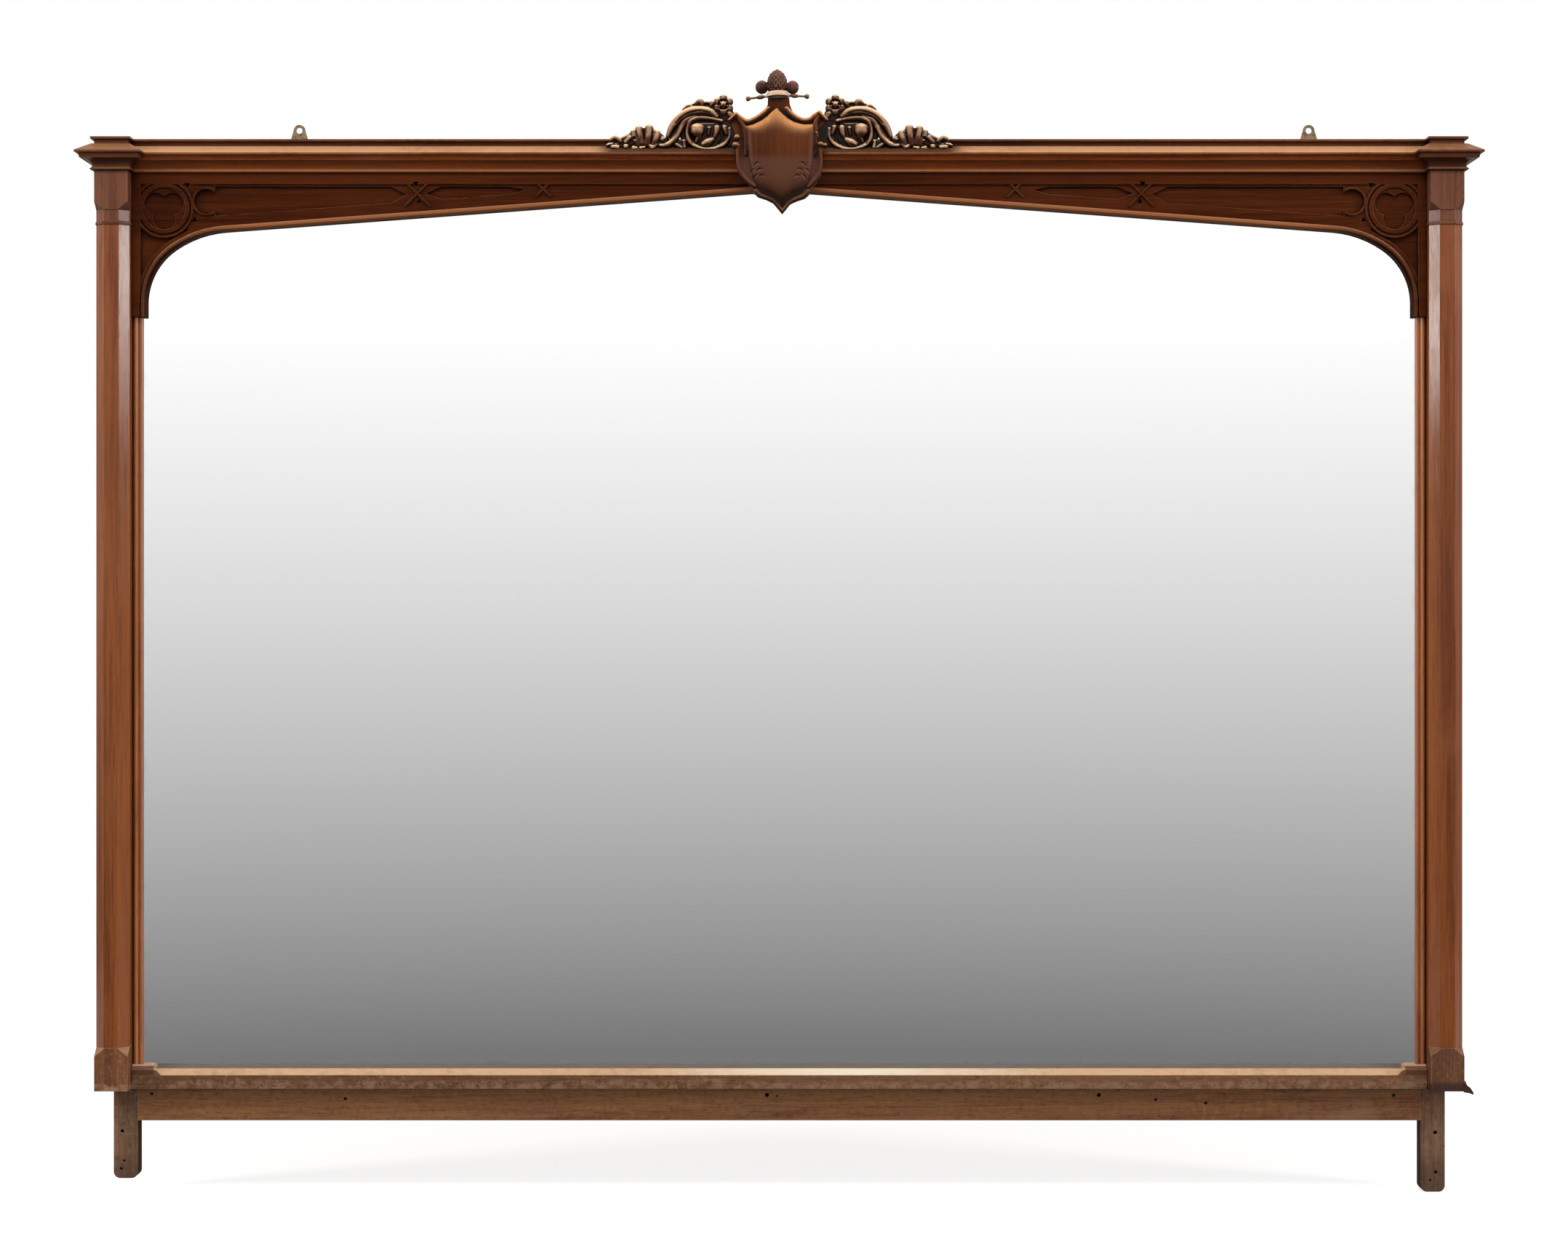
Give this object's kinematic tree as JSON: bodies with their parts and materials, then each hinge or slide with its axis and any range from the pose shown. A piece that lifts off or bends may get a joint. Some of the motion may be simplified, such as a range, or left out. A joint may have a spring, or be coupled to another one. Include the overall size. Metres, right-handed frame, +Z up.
{
  "type": "overmantel mirror",
  "caption": "Wide wall mirror for above a mantelpiece, with half-octagon pilasters, blind tracery over a low arch, a moulded cornice and a carved crest with a shield.",
  "frame": {"origin": "on the wall plane, at the middle of the width, level with the underside of the pilaster base blocks", "axes": "+X along the width to the viewer's right, +Y into the wall, +Z up"},
  "size_m": [1.9274, 0.0845, 1.549],
  "materials": {
    "frame_wood": "old dark oak, dry wax",
    "pilaster_wood": "polished oak, worn",
    "frieze_wood": "dark polished oak",
    "cornice_wood": "dark polished oak",
    "carved_wood": "carved oak, dusty wax",
    "shield_wood": "polished oak",
    "mirror_plate": "silvered plate glass",
    "softwood": "aged bare pine",
    "plate_brass": "dull, tarnished",
    "screw_steel": "dull"
  },
  "bodies": {
    "root": {"mirror_plate": "mirror_plate", "left_stile": "frame_wood", "right_stile": "frame_wood", "top_rail": "frame_wood", "base_rail": "frame_wood", "sill": "pilaster_wood", "left_slip": "pilaster_wood", "right_slip": "pilaster_wood", "left_spandrel_ground": "frieze_wood", "right_spandrel_ground": "frieze_wood", "left_tracery": "frieze_wood", "right_tracery": "frieze_wood", "left_arch_moulding": "cornice_wood", "right_arch_moulding": "cornice_wood", "left_pilaster": "pilaster_wood", "right_pilaster": "pilaster_wood", "left_capital_block": "pilaster_wood", "right_capital_block": "pilaster_wood", "left_neck_ring": "pilaster_wood", "right_neck_ring": "pilaster_wood", "left_base_block": "pilaster_wood", "right_base_block": "pilaster_wood", "base_moulding_fragment": "pilaster_wood", "cornice_moulding": "cornice_wood", "cornice_capping": "cornice_wood", "left_cap_moulding": "cornice_wood", "right_cap_moulding": "cornice_wood", "left_cap_plate": "cornice_wood", "right_cap_plate": "cornice_wood", "shield_backing": "frieze_wood", "shield_cartouche": "carved_wood", "shield_field": "shield_wood", "finial_collar": "carved_wood", "finial_bud": "carved_wood", "left_crest_scroll": "carved_wood", "right_crest_scroll": "carved_wood", "left_crest_leaf": "carved_wood", "right_crest_leaf": "carved_wood", "left_hanging_plate": "plate_brass", "right_hanging_plate": "plate_brass", "hanging_plate_screws": "screw_steel", "glass_wedges": "softwood", "backboard_1": "softwood", "backboard_2": "softwood", "backboard_3": "softwood", "backboard_4": "softwood", "backboard_5": "softwood", "backboard_6": "softwood"}
  },
  "joints": []
}
